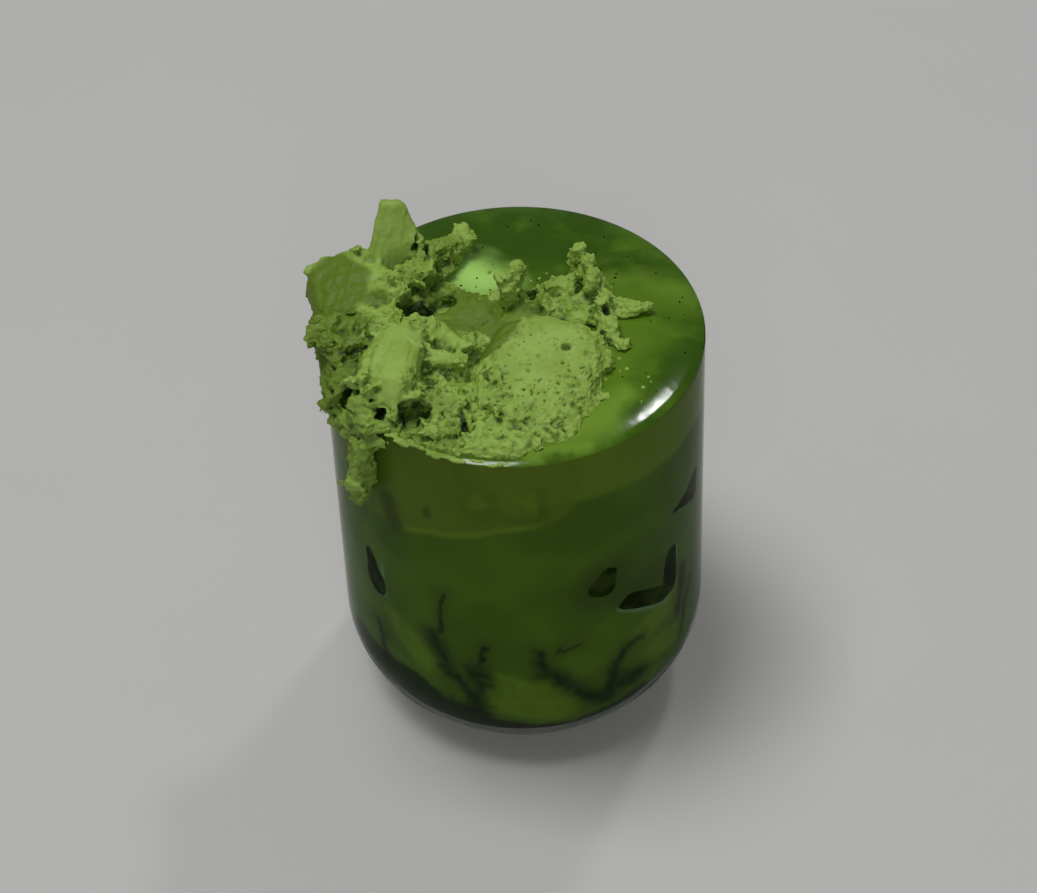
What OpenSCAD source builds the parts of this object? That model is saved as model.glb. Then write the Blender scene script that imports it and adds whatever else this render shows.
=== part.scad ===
// Iced matcha latte in a round-cornered tumbler, filled to the brim, with two rough
// spoonfuls of matcha ice cream. One spoonful leans over the rim and runs down outside it.
// Z is up, the base rests on Z = 0, and the axis of the glass is the Z axis.

/* [Glass] */
// Height of the glass from its foot to its rim
glass_h = 98; // [80:1:120]
// Outer radius at the rim
rim_r = 40; // [33:0.5:48]
// How much wider the glass is above its rounded corner than at its rim
belly_extra = 0.8; // [0:0.1:3]
// Radius of the rounded corner between wall and base
corner_r = 21; // [14:1:26]
// Thickness of the wall
wall = 1.6; // [1.2:0.1:3]
// Thickness of the base
base_t = 3.2; // [2:0.1:8]

/* [Drink] */
// Depth of the pale layer of foam and melted ice cream on top
foam_t = 13; // [8:1:24]
// How far the middle of the foam stands over the rim
foam_crown = 1.2; // [0.4:0.1:2.5]
// How far in from the wall the foam rounds over
foam_round = 7; // [4:0.5:12]
// Radius of the pocket in the foam that the ice cream stands in
pocket_r = 29; // [22:0.5:34]

/* [Ice cream] */
// Length of the left spoonful, front to back
left_l = 50; // [38:1:62]
// Width of the left spoonful
left_w = 32; // [25:1:40]
// Height of the left spoonful over the rim, without its peak
left_h = 12; // [9:1:20]
// How far the left spoonful leans out past the rim
overhang = 3.5; // [2:0.5:8]
// Height of the upright peak over the rim
peak_h = 22; // [16:1:30]
// Width of the upright peak at its foot
peak_w = 14; // [9:0.5:18]
// How far the drip hangs down outside the glass
drip_l = 22; // [12:1:32]
// Thickness of the drip
drip_t = 5; // [3:0.5:8]
// Length of the right spoonful, front to back
right_l = 47; // [36:1:58]
// Width of the right spoonful
right_w = 25; // [20:1:34]
// Height of the right spoonful's back over the rim
right_h = 12; // [8:1:20]
// Height of the torn fin along the right spoonful's edge, over the rim
fin_h = 14; // [10:1:22]
// Height of the loose chunk that stands behind the two spoonfuls
chunk_h = 11; // [7:0.5:16]
// Length of the loose flake beside the right spoonful
flake_l = 8; // [5:0.5:12]
// How rough the ice cream is, as a share of each lump's size
rough = 0.07; // [0:0.01:0.12]

/* [Hidden] */

$fn = 96;
gap = 0.1;                                         // between pieces that touch
lip_r = wall / 2;                               // the rim is half a round
lip_z = glass_h - lip_r;                        // height of that round's middle
fill_r = rim_r - wall;                          // inner radius at the rim
lean = atan(belly_extra / (lip_z - corner_r));  // how far the wall leans in
corner_x = rim_r + belly_extra - corner_r;      // where the corner's round is centred
foam_z = glass_h - foam_t;                      // underside of the foam

// The pocket's middle: on the left and in front it reaches past the wall by these two.
pocket_past = [4, 2];
pocket_at = [pocket_r - fill_r - pocket_past.x, pocket_r - fill_r - pocket_past.y];

leaf = [0.35, 0.50, 0.12];
pale = [0.45, 0.58, 0.22];
deep = [0.20, 0.30, 0.06];
clear = [0.80, 0.88, 0.84, 0.35];

// --- the glass ---

// Half of an upright section, cut off at a height: flat to the corner's centre, a true
// round, a wall that leans in to the lip, and straight up from there.
module section(round_r, floor_z, top_z, lip_x) {
    intersection() {
        union() {
            polygon([
                [0, floor_z],
                [corner_x, floor_z],
                [corner_x + round_r * cos(lean), floor_z + round_r * (1 + sin(lean))],
                [lip_x, lip_z],
                [lip_x, 2 * glass_h],
                [0, 2 * glass_h]
            ]);
            translate([corner_x, floor_z + round_r])
                circle(r = round_r);
        }
        square([2 * rim_r, top_z]);
    }
}

// The wall, the base and the round lip, grown by a clearance.
module shell_section(grow = 0) {
    difference() {
        section(corner_r + grow, -grow, lip_z, rim_r + grow);
        section(corner_r - wall - grow, base_t + grow, glass_h, fill_r - grow);
    }
    translate([rim_r - lip_r, lip_z])
        circle(r = lip_r + grow);
}

module glass() {
    color(clear)
    rotate_extrude()
        shell_section();
}

// --- the drink ---

// A layer of what fills the glass, between two heights.
module layer(bottom, top) {
    rotate_extrude()
        intersection() {
            section(corner_r - wall - gap, base_t + gap, glass_h, fill_r - gap);
            translate([0, bottom])
                square([2 * rim_r, top - bottom]);
        }
}

module latte() {
    color(deep)
        layer(0, foam_z);
}

// The foam without its pocket: flat over the middle, and round down to the wall.
module foam_body(grow = 0) {
    // a round that falls by foam_crown over foam_round
    edge_r = (pow(foam_round, 2) + pow(foam_crown, 2)) / (2 * foam_crown);
    top = glass_h + foam_crown;
    rotate_extrude()
        intersection() {
            union() {
                square([fill_r - foam_round, top + grow]);
                translate([fill_r - foam_round, top - edge_r])
                    circle(r = edge_r + grow);
            }
            translate([0, foam_z])
                square([fill_r - gap, 2 * foam_t]);
        }
}

// The pocket in the foam that the ice cream's foot fills.
module pocket(grow = 0) {
    translate([pocket_at.x, pocket_at.y, foam_z - foam_t])
        cylinder(h = 3 * foam_t, r = pocket_r + grow);
}

module foam() {
    color(leaf)
    difference() {
        foam_body();
        pocket();
    }
}

// --- the ice cream ---

// Radius of a rough lump in one direction, as a share of its size.
function lump_share(turn, rise, seed) =
    1 + rough * (sin(3 * turn + 67 * seed) * cos(2 * rise)
                 + 0.8 * sin(5 * turn - 41 * seed + 60 * sin(3 * rise)) * cos(rise)
                 + 0.6 * sin(9 * turn + 113 * seed) * cos(rise) * sin(4 * rise + 29 * seed));

// A sine or cosine squared off, so that a lump can be blunter than an egg.
function blunt(value, power) = sign(value) * pow(abs(value), power);

// taper narrows the lump towards its top by that share, and widens it as much below.
function lump_point(half, turn, rise, seed, power, taper) =
    let (
        high = blunt(sin(rise), power),
        wide = blunt(cos(rise), power) * (1 - taper * high)
    )
    lump_share(turn, rise, seed) * [
        half.x * blunt(cos(turn), power) * wide,
        half.y * blunt(sin(turn), power) * wide,
        half.z * high
    ];

// A rough closed lump, by its middle, half its size each way and its turn. grow fattens it.
module lump(at, half, turn, seed, power = 0.8, around = 26, grow = 0, taper = 0) {
    rings = floor(around / 2);
    size = [for (h = half) h + grow];
    points = [
        for (i = [1 : rings - 1], j = [0 : around - 1])
            lump_point(size, 360 * j / around, -90 + 180 * i / rings, seed, power, taper),
        lump_point(size, 0, -90, seed, power, taper),
        lump_point(size, 0, 90, seed, power, taper)
    ];
    foot = (rings - 1) * around;
    faces = [
        for (i = [0 : rings - 3], j = [0 : around - 1])
            let (a = i * around + j, b = i * around + (j + 1) % around)
                [a, a + around, b + around, b],
        for (j = [0 : around - 1])
            [foot, j, (j + 1) % around],
        for (j = [0 : around - 1])
            [foot + 1, foot - around + (j + 1) % around, foot - around + j]
    ];
    translate(at)
        rotate(turn)
            polyhedron(points, faces);
}

// One side of the upright plane that parts the two spoonfuls.
split_at = [pocket_at.x + 0.22 * pocket_r, pocket_at.y];
split_turn = -10;

module side_of_split(side) {
    reach = 4 * rim_r;
    translate([split_at.x, split_at.y, 0])
        rotate([0, 0, split_turn])
            translate([side < 0 ? -reach - gap / 2 : gap / 2, -reach / 2, 0])
                cube([reach, reach, 3 * glass_h]);
}

// The foot under both spoonfuls: it fills the pocket in the foam, up to the rim.
module foot() {
    intersection() {
        layer(foam_z, glass_h);
        pocket(-gap);
    }
}

// All that the ice cream over the rim is cut round: the glass, the foam and the drink.
// It is cut a little further back than the foot's own sides.
module kept_clear() {
    rotate_extrude()
        shell_section(2 * gap);
    difference() {
        foam_body(2 * gap);
        pocket(-2 * gap);
    }
    layer(0, foam_z + gap);
}

// The left spoonful: a broad body over the rim, a ridge, a smooth front, a peak and a drip.
left_x = -rim_r - overhang + left_w / 2;   // middle of its width

module left_lumps() {
    lump([left_x, -0.06 * left_l, glass_h + 0.2 * left_h],
         [left_w / 2, left_l / 2, 0.62 * left_h], [0, 0, 8], 1, 0.8, 40);
    // the wing that leans out over the rim at the back
    lump([left_x - 0.2 * left_w, 0.17 * left_l, glass_h + 0.32 * left_h],
         [0.32 * left_w, 0.2 * left_l, 0.44 * left_h], [0, -12, 24], 2, 0.7);
    // the torn ridge from the peak's foot towards the middle of the glass
    lump([left_x + 0.36 * left_w, 0.26 * left_l, glass_h + 0.36 * left_h],
         [0.36 * left_w, 0.11 * left_l, 0.45 * left_h], [0, 4, 40], 3, taper = 0.2);
    // the smooth cut lump at the front
    lump([left_x + 0.1 * left_w, -0.3 * left_l, glass_h + 0.45 * left_h],
         [0.21 * left_w, 0.26 * left_l, 0.5 * left_h], [-6, 6, -10], 4, taper = 0.15);
    // the low crumbly stretch from the middle to the front rim
    lump([left_x + 0.42 * left_w, -0.4 * left_l, glass_h + 0.05 * left_h],
         [0.3 * left_w, 0.32 * left_l, 0.42 * left_h], [6, 0, 20], 5, 0.7);
    // the hollow between the two spoonfuls
    lump([left_x + 0.62 * left_w, 0.02 * left_l, glass_h],
         [0.28 * left_w, 0.26 * left_l, 0.3 * left_h], [0, 6, -6], 14, 0.7);
}

module peak() {
    lump([left_x + 0.11 * left_w, 0.34 * left_l, glass_h + 0.44 * peak_h],
         [peak_w / 2, 0.2 * peak_w, 0.56 * peak_h], [-4, -6, 4], 6, 0.85, 20, taper = 0.45);
}

// The drip hangs on the outside of the wall, below the left spoonful's front.
drip_turn = 216;   // where it hangs round the glass, from +X

module drip() {
    rotate([0, 0, drip_turn]) {
        lump([rim_r, 0, glass_h], [drip_t, 1.2 * drip_t, 0.35 * drip_l], [0, -6, 0], 7, 0.8, 18);
        lump([rim_r + 0.15 * drip_t, 0.3 * drip_t, glass_h - 0.5 * drip_l],
             [0.8 * drip_t, 0.7 * drip_t, 0.5 * drip_l], [8, -3, 0], 8, 0.8, 18);
    }
}

module scoop_left() {
    color(pale)
    intersection() {
        side_of_split(-1);
        union() {
            difference() {
                union() {
                    left_lumps();
                    peak();
                    drip();
                }
                kept_clear();
            }
            foot();
        }
    }
}

// The right spoonful: a wedge that climbs to the back, with a torn fin along its right edge.
right_at = [0.17 * rim_r, -0.33 * rim_r];

module right_lumps(grow = 0) {
    lump([right_at.x, right_at.y, glass_h + 0.2 * right_h],
         [right_w / 2, right_l / 2, 0.6 * right_h], [13, 4, -16], 9, 0.75, 34, grow);
    // the torn fin
    lump([right_at.x + 0.34 * right_w, right_at.y + 0.38 * right_l, glass_h + 0.42 * fin_h],
         [0.12 * right_w, 0.22 * right_l, 0.55 * fin_h], [8, 0, -8], 10, 0.8, 20, grow, 0.35);
    // the low torn back edge
    lump([right_at.x + 0.02 * right_w, right_at.y + 0.46 * right_l, glass_h + 0.2 * right_h],
         [0.42 * right_w, 0.1 * right_l, 0.36 * right_h], [0, -12, 10], 11, 0.8, 20, grow);
    // the low edge along the front rim
    lump([right_at.x - 0.3 * right_w, right_at.y - 0.36 * right_l, glass_h],
         [0.32 * right_w, 0.16 * right_l, 0.3 * right_h], [0, 0, -10], 15, 0.7, 20, grow);
}

module scoop_right() {
    color(pale)
    intersection() {
        side_of_split(1);
        union() {
            difference() {
                intersection() {
                    right_lumps();
                    cylinder(h = 2 * glass_h, r = fill_r - lip_r);
                }
                kept_clear();
            }
            foot();
        }
    }
}

// A loose piece that stands on what fills the glass, clear of the right spoonful.
module loose_piece() {
    color(pale)
    difference() {
        children();
        foam_body(gap);
        layer(0, glass_h);
        right_lumps(gap);
    }
}

module chunk() {
    loose_piece()
        lump([right_at.x - 0.26 * right_w, right_at.y + 0.44 * right_l, glass_h + 0.38 * chunk_h],
             [0.28 * chunk_h, 0.2 * chunk_h, 0.6 * chunk_h], [-4, 4, 0], 12, 0.8, 20);
}

module flake() {
    loose_piece()
        lump([right_at.x + 0.7 * right_w, right_at.y + 0.34 * right_l, glass_h + foam_crown],
             [0.5 * flake_l, 0.28 * flake_l, 0.26 * flake_l], [0, -16, -14], 13, 0.8, 16);
}

glass();
latte();
foam();
scoop_left();
scoop_right();
chunk();
flake();
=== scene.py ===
import math
import random

import bpy
import numpy as np
from mathutils import Matrix, Vector


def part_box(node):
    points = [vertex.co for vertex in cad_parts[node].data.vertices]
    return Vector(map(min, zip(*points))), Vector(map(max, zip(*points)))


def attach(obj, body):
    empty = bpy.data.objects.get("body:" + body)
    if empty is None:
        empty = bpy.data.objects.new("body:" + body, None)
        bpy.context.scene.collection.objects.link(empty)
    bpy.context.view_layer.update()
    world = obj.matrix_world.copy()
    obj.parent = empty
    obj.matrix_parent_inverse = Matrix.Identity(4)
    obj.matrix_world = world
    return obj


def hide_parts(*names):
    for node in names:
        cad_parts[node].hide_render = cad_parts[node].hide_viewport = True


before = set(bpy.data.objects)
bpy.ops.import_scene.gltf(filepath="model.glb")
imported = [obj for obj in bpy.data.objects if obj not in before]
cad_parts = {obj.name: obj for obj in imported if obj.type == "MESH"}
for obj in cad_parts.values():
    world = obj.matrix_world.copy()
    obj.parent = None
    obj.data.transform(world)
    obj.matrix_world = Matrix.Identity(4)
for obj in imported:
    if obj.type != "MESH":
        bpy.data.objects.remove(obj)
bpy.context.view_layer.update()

mm = 0.001
scene = bpy.context.scene
scene.view_settings.view_transform = "Standard"

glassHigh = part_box("glass")[1]
latteLow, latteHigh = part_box("latte")
foamLow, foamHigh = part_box("foam")

clearance = 0.1 * mm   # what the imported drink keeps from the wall
intoWall = 0.3 * mm    # how far the fill reaches into the wall, so no air shows
rimZ = glassHigh.z
foamZ = foamLow.z
rimR = 40 * mm
innerR = foamHigh.x + clearance
fillR = innerR + intoWall
bellyR = latteHigh.x + clearance + intoWall
floorZ = latteLow.z - clearance - intoWall
aroundWall = 160       # flat sides round the wall


def spot(x, y, high=0):
    # millimetres from the middle of the glass, and over its rim
    return Vector((x * mm, y * mm, rimZ + high * mm))


def deselect():
    bpy.ops.object.select_all(action="DESELECT")


def pick(*pieces):
    deselect()
    for piece in pieces:
        piece.select_set(True)
    bpy.context.view_layer.objects.active = pieces[0]


def newest(name):
    piece = bpy.context.object
    piece.name = name
    piece.data.name = name
    return piece


def settle(piece):
    # the place, turn and size go into the mesh
    pick(piece)
    bpy.ops.object.transform_apply(location=True, rotation=True, scale=True)
    return piece


def useModifier(piece, kind, **settings):
    pick(piece)
    modifier = piece.modifiers.new(kind.lower(), kind)
    for key, value in settings.items():
        setattr(modifier, key, value)
    bpy.ops.object.modifier_apply(modifier=modifier.name)
    return piece


def joinAll(pieces, name):
    pick(*pieces)
    bpy.ops.object.join()
    return newest(name)


def cutWith(piece, tool, operation="DIFFERENCE"):
    useModifier(piece, "BOOLEAN", operation=operation, solver="MANIFOLD", object=tool)
    bpy.data.objects.remove(tool)
    return piece


def selectFaces(piece, test):
    # leaves edit mode on with the faces that pass the test selected
    pick(piece)
    bpy.ops.object.mode_set(mode="EDIT")
    bpy.ops.mesh.select_mode(type="FACE")
    bpy.ops.mesh.select_all(action="DESELECT")
    bpy.ops.object.mode_set(mode="OBJECT")
    for face in piece.data.polygons:
        face.select = test(face)
    bpy.ops.object.mode_set(mode="EDIT")


def leaveEdit():
    bpy.ops.object.mode_set(mode="OBJECT")


def leanFace(piece, up, share, z):
    # the flat top (up is 1) or bottom (up is -1) takes this share of its width
    selectFaces(piece, lambda face: face.normal.z * up > 0.5)
    bpy.ops.transform.resize(value=(share, share, 1), center_override=(0, 0, z))
    leaveEdit()


def addCube(name, size=2, at=(0, 0, 0)):
    deselect()
    bpy.ops.mesh.primitive_cube_add(size=size, location=at)
    return newest(name)


def addBarrel(name, radius, depth, at, around=aroundWall, ends="NGON"):
    deselect()
    bpy.ops.mesh.primitive_cylinder_add(vertices=around, radius=radius, depth=depth,
                                        end_fill_type=ends, location=at)
    return settle(newest(name))


def placePiece(piece, at, half, turn):
    # half sizes and place in millimetres, turns in degrees
    piece.scale = [h * mm for h in half]
    piece.rotation_euler = [math.radians(t) for t in turn]
    piece.location = spot(*at)
    return settle(piece)


def smoothShade(piece, angle=180):
    pick(piece)
    if angle >= 180:
        bpy.ops.object.shade_smooth()
    else:
        bpy.ops.object.shade_smooth_by_angle(angle=math.radians(angle))
    return piece


def finishPiece(piece, slotName, *materials):
    piece.data.materials.clear()
    for material in materials:
        piece.data.materials.append(material)
    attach(piece, "root")
    print("made", piece.name, len(piece.data.polygons), "faces")
    return piece


def feed(tree, node, inputs):
    # each input takes a plain value, or a link from a socket
    for socket, value in inputs.items():
        if isinstance(value, bpy.types.NodeSocket):
            tree.links.new(value, node.inputs[socket])
        else:
            node.inputs[socket].default_value = value
    return node


def put(tree, kind, inputs, **settings):
    node = tree.nodes.new(kind)
    for key, value in settings.items():
        setattr(node, key, value)
    return feed(tree, node, inputs)


def maths(tree, operation, first, second=0.0, clamp=False):
    node = put(tree, "ShaderNodeMath", {0: first, 1: second}, operation=operation, use_clamp=clamp)
    return node.outputs[0]


def vectors(tree, operation, first, second=(0, 0, 0)):
    node = put(tree, "ShaderNodeVectorMath", {0: first, 1: second}, operation=operation)
    return node.outputs["Value" if operation in ("DOT_PRODUCT", "DISTANCE") else "Vector"]


def ramp(tree, value, low, high, first=0.0, last=1.0):
    node = put(tree, "ShaderNodeMapRange",
               {"Value": value, "From Min": low, "From Max": high, "To Min": first, "To Max": last},
               interpolation_type="SMOOTHSTEP")
    return node.outputs["Result"]


def mixed(tree, share, first, second):
    # colours are sockets or plain (red, green, blue)
    first, second = (value if isinstance(value, bpy.types.NodeSocket) else (*value, 1)
                     for value in (first, second))
    return put(tree, "ShaderNodeMix", {0: share, 6: first, 7: second}, data_type="RGBA").outputs[2]


def grain(tree, place, size, detail=3.0, roughness=0.55, warp=0.0):
    # soft noise whose blotches are about this size, in metres
    return put(tree, "ShaderNodeTexNoise",
               {"Vector": place, "Scale": 1 / size, "Detail": detail, "Roughness": roughness,
                "Distortion": warp})


def wavering(tree, place, size, reach, detail, roughness, warp=0.0):
    # a sideways shift that wanders by about this reach, in millimetres
    noise = grain(tree, place, size, detail, roughness, warp)
    centred = vectors(tree, "SUBTRACT", noise.outputs["Color"], (0.5, 0.5, 0.5))
    return vectors(tree, "MULTIPLY", centred, (reach, reach, 0))


def newGroup(name, takes, gives):
    tree = bpy.data.node_groups.new(name, "ShaderNodeTree")
    for socketName, socketKind, value in takes:
        socket = tree.interface.new_socket(name=socketName, in_out="INPUT", socket_type=socketKind)
        socket.default_value = value
    for socketName, socketKind in gives:
        tree.interface.new_socket(name=socketName, in_out="OUTPUT", socket_type=socketKind)
    return tree, tree.nodes.new("NodeGroupInput"), tree.nodes.new("NodeGroupOutput")


def useGroup(tree, group, inputs):
    return put(tree, "ShaderNodeGroup", inputs, node_tree=group)


def newMaterial(name):
    material = bpy.data.materials.new(name)
    material.use_nodes = True
    tree = material.node_tree
    return material, tree, tree.nodes["Principled BSDF"]


def objectPlace(tree):
    return tree.nodes.new("ShaderNodeTexCoord").outputs["Object"]


def buildStroke():
    # a soft stroke between two places, 1 inside and 0 outside
    tree, given, out = newGroup(
        "stroke",
        [("Place", "NodeSocketVector", (0, 0, 0)), ("From", "NodeSocketVector", (0, 0, 0)),
         ("To", "NodeSocketVector", (1, 0, 0)), ("Width", "NodeSocketFloat", 1.0),
         ("Soft", "NodeSocketFloat", 0.5)],
        [("Mask", "NodeSocketFloat")])
    away = vectors(tree, "SUBTRACT", given.outputs["Place"], given.outputs["From"])
    along = vectors(tree, "SUBTRACT", given.outputs["To"], given.outputs["From"])
    share = maths(tree, "DIVIDE", vectors(tree, "DOT_PRODUCT", away, along),
                  vectors(tree, "DOT_PRODUCT", along, along), clamp=True)
    scaled = put(tree, "ShaderNodeVectorMath", {0: along, "Scale": share}, operation="SCALE")
    far = vectors(tree, "DISTANCE", away, scaled.outputs["Vector"])
    inside = maths(tree, "SUBTRACT", given.outputs["Width"], given.outputs["Soft"])
    outside = maths(tree, "ADD", given.outputs["Width"], given.outputs["Soft"])
    feed(tree, out, {"Mask": ramp(tree, far, inside, outside, 1.0, 0.0)})
    return tree


stroke = buildStroke()


def strokeMask(tree, place, strokes, soft):
    # the strongest of several strokes: (from, to, half width)
    found = None
    for start, end, width in strokes:
        node = useGroup(tree, stroke, {"Place": place, "From": (*start, 0), "To": (*end, 0.01),
                                       "Width": width, "Soft": min(soft, width)})
        found = node.outputs[0] if found is None else maths(tree, "MAXIMUM", found, node.outputs[0])
    return found


degree = 0.7   # millimetres round the wall for each degree


def roundWall(*strokes):
    # strokes given as (degrees from the front, millimetres high) are laid out flat
    return [((a[0] * degree, a[1]), (b[0] * degree, b[1]), width) for a, b, width in strokes]


# What shows through the wall: degrees round from the front, millimetres high, half width.
marbling = {
    "body": (0.043, 0.090, 0.0028),
    "cloud": (0.058, 0.114, 0.004),
    "light": (0.098, 0.168, 0.008),
    "olive": (0.084, 0.128, 0.007),
    "dark": (0.003, 0.011, 0.0004),
    "shade": (0.026, 0.044, 0.0015),
    # painted reflection: the pale rim along the edges of the ice
    "iceEdgeGlint": (0.110, 0.190, 0.085),
    "veins": roundWall(
        ((-26, 56), (-28, 44), 0.6), ((-31, 42), (-26, 33), 2.0), ((-26, 33), (-18, 24), 1.7),
        ((-14, 42), (-16, 34), 0.7), ((-16, 34), (-17, 20), 2.1), ((-54, 34), (-51, 21), 1.1),
        ((3, 39), (6, 33), 1.2), ((6, 33), (12, 28), 1.8), ((12, 28), (20, 22), 2.0),
        ((20, 22), (26, 19), 2.4), ((27, 20), (28, 29), 1.9), ((28, 29), (32, 32), 1.4),
        ((32, 32), (38, 33), 1.1), ((32, 22), (39, 22), 2.6), ((9, 39), (17, 41), 0.5),
        ((60, 44), (58, 30), 0.9), ((66, 36), (60, 22), 0.9)),
    "pools": roundWall(((-66, 20), (-40, 19), 5.6), ((-42, 17), (-22, 15), 6.4),
                       ((-24, 14), (10, 8), 4.0), ((10, 8), (40, 13), 3.0)),
    "lobes": roundWall(((-47, 41), (-43, 38), 1.6), ((-42, 36), (-35, 31), 3.7),
                       ((-9, 26), (9, 22), 6.6), ((-12, 31), (-6, 28), 3.0),
                       ((40, 34), (52, 40), 4.0), ((44, 26), (62, 24), 3.0)),
    # where the painted reflection lies along the ice's edges
    "iceEdge": roundWall(((31, 47.2), (50, 39.2), 0.9), ((50, 39.2), (57, 42), 0.8),
                         ((57.4, 43), (56, 52), 0.5), ((-50.0, 55), (-49.2, 45), 0.6)),
    "band": roundWall(((4, 98.5), (80, 93), 12.2), ((80, 93), (180, 97), 12)),
    "sunk": roundWall(((-52, 83), (2, 91.5), 12.4), ((-95, 88), (-52, 83), 12.0)),
    "sunkEdge": roundWall(((-42, 71.5), (-12, 77.6), 0.9), ((-12, 77.6), (3, 79.4), 0.8)),
    "blobs": roundWall(((-1, 86.4), (-0.6, 85.6), 3.9), ((-12, 87), (-12, 86), 2.4)),
    "blobShade": roundWall(((0.4, 85.2), (0.8, 85), 4.9), ((-12.5, 86), (-12, 85.5), 3.2)),
    "underDrip": roundWall(((-44, 78), (-42, 72), 2.4), ((-30, 81), (-30, 79), 0.8)),
    "halo": roundWall(((24, 57), (26, 58), 6.0), ((32, 52), (50, 50), 4.0)),
    # size, reach in millimetres, detail and roughness of what makes the strokes wander
    "calm": (14 * mm, 4.0, 1.0, 0.6),
    "coarse": (7 * mm, 7.5, 5.0, 0.6),
    "fine": (1.7 * mm, 3.6, 4.0, 0.65),
    "cloudSize": 16 * mm,
    "clouds": (0.40, 0.68),
    "wispSize": 2.6 * mm,
    "wisps": (0.34, 0.56, 0.5, 1.0),
    "frontOnly": (-1 * mm, 1 * mm, 1.0, 0.0),
    "roughness": 0.5,
    "specular": 0.1,
}
marbling["veinHaze"] = [(a, b, width + 1.6) for a, b, width in marbling["veins"]]

# Each over the last: strokes, how they wander, softness in millimetres, colour and strength.
marblingLayers = (
    ("band", "calm", 1.2, "light", 0.8),
    ("sunk", "calm", 1.0, "olive", 0.75),
    ("sunkEdge", "calm", 1.0, "light", 0.8),
    ("blobShade", "torn", 1.8, "shade", 0.45),
    ("blobs", "torn", 1.4, "light", 0.75),
    ("underDrip", "calm", 1.6, "shade", 0.8),
    ("halo", "torn", 4.0, "shade", 0.75),
    ("lobes", "torn", 1.4, "light", 0.7),
    ("veinHaze", "torn", 2.6, "shade", 0.55),
    ("pools", "torn", 1.5, "dark", 0.95),
    ("veins", "torn", 2.0, "dark", 0.95),
    ("iceEdge", "calm", 0.7, "iceEdgeGlint", 0.7),
)


def buildWallFill():
    # the marbled drink as it shows through the wall, the same for every layer
    tree, _, out = newGroup("wallFill", [], [("Color", "NodeSocketColor")])
    place = objectPlace(tree)
    apart = put(tree, "ShaderNodeSeparateXYZ", {0: place})
    front = maths(tree, "ABSOLUTE", apart.outputs["Y"])
    turn = maths(tree, "ARCTAN2", apart.outputs["X"], front)
    flat = put(tree, "ShaderNodeCombineXYZ",
               {"X": maths(tree, "MULTIPLY", turn, math.degrees(degree)),
                "Y": maths(tree, "DIVIDE", apart.outputs["Z"], mm)}).outputs[0]
    where = {name: vectors(tree, "ADD", flat, wavering(tree, place, *marbling[kind]))
             for name, kind in (("calm", "calm"), ("torn", "coarse"))}
    where["torn"] = vectors(tree, "ADD", where["torn"], wavering(tree, place, *marbling["fine"]))
    wispy = grain(tree, place, marbling["wispSize"], 5.0, 0.65, 0.8)
    wisps = ramp(tree, wispy.outputs["Fac"], *marbling["wisps"])
    atFront = ramp(tree, apart.outputs["Y"], *marbling["frontOnly"])
    only = {"veins": wisps, "lobes": wisps, "blobs": wisps, "halo": atFront, "iceEdge": atFront}
    cloudy = grain(tree, place, marbling["cloudSize"], 3.0, 0.5, 0.6)
    clouds = ramp(tree, cloudy.outputs["Fac"], *marbling["clouds"])
    colour = mixed(tree, clouds, marbling["body"], marbling["cloud"])
    for name, path, soft, tone, strength in marblingLayers:
        mask = strokeMask(tree, where[path], marbling[name], soft)
        if name in only:
            mask = maths(tree, "MULTIPLY", mask, only[name])
        colour = mixed(tree, maths(tree, "MULTIPLY", mask, strength), colour, marbling[tone])
    feed(tree, out, {"Color": colour})
    return tree


wallFill = buildWallFill()


def buildWallMaterial():
    material, tree, shader = newMaterial("drinkAtWall")
    fill = useGroup(tree, wallFill, {})
    feed(tree, shader, {"Base Color": fill.outputs["Color"], "Roughness": marbling["roughness"],
                        "Specular IOR Level": marbling["specular"]})
    return material


# The top of the drink: places in millimetres from the glass's axis.
surface = {
    "dark": (0.036, 0.092, 0.0028),
    "mid": (0.112, 0.228, 0.013),
    "light": (0.190, 0.345, 0.032),
    "pale": (0.43, 0.74, 0.17),
    "cream": [((-13, 20), (-5, 15), 5.0), ((-12, 12), (-6, 8), 3.0)],
    "patch": [((8, -33), (17, -27), 4.6), ((17, -27), (23, -22), 2.6), ((2, -38), (14, -35), 1.6)],
    "streak": [((18, 13), (28, 14), 2.2), ((28, 14), (37, 9), 2.8)],
    "round": [((14, -24), (24, 2), 8.0), ((22, 8), (36, 6), 5.0)],
    "drift": (12 * mm, 10.0, 4.0, 0.55, 0.4),   # size, reach, detail, roughness, warp
    "cloudSize": 17 * mm,
    "clouds": (0.42, 0.74),
    "roughness": 0.11,
    "specular": 0.35,
    "rippleSize": 6 * mm,
    "bumpDepth": 0.15 * mm,
}

# Each over the last: strokes, colour, softness in millimetres and strength.
surfaceLayers = (
    ("round", "mid", 6.0, 0.8),
    ("patch", "light", 4.0, 0.8),
    ("streak", "light", 3.0, 0.38),
    ("cream", "pale", 4.5, 0.95),
)


def buildSurfaceMaterial():
    material, tree, shader = newMaterial("drinkSurface")
    place = objectPlace(tree)
    level = vectors(tree, "MULTIPLY", place, (1 / mm, 1 / mm, 0))
    warped = vectors(tree, "ADD", level, wavering(tree, place, *surface["drift"]))
    cloudy = grain(tree, place, surface["cloudSize"], 5.0, 0.55, 0.2)
    clouds = ramp(tree, cloudy.outputs["Fac"], *surface["clouds"])
    colour = mixed(tree, clouds, surface["dark"], surface["mid"])
    for name, tone, soft, strength in surfaceLayers:
        mask = strokeMask(tree, warped, surface[name], soft)
        colour = mixed(tree, maths(tree, "MULTIPLY", mask, strength), colour, surface[tone])
    ripple = grain(tree, place, surface["rippleSize"], 2.0, 0.5)
    bump = put(tree, "ShaderNodeBump", {"Height": ripple.outputs["Fac"], "Strength": 0.4,
                                        "Distance": surface["bumpDepth"]})
    feed(tree, shader, {"Base Color": colour, "Roughness": surface["roughness"],
                        "Specular IOR Level": surface["specular"], "Normal": bump.outputs["Normal"]})
    return material


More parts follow.
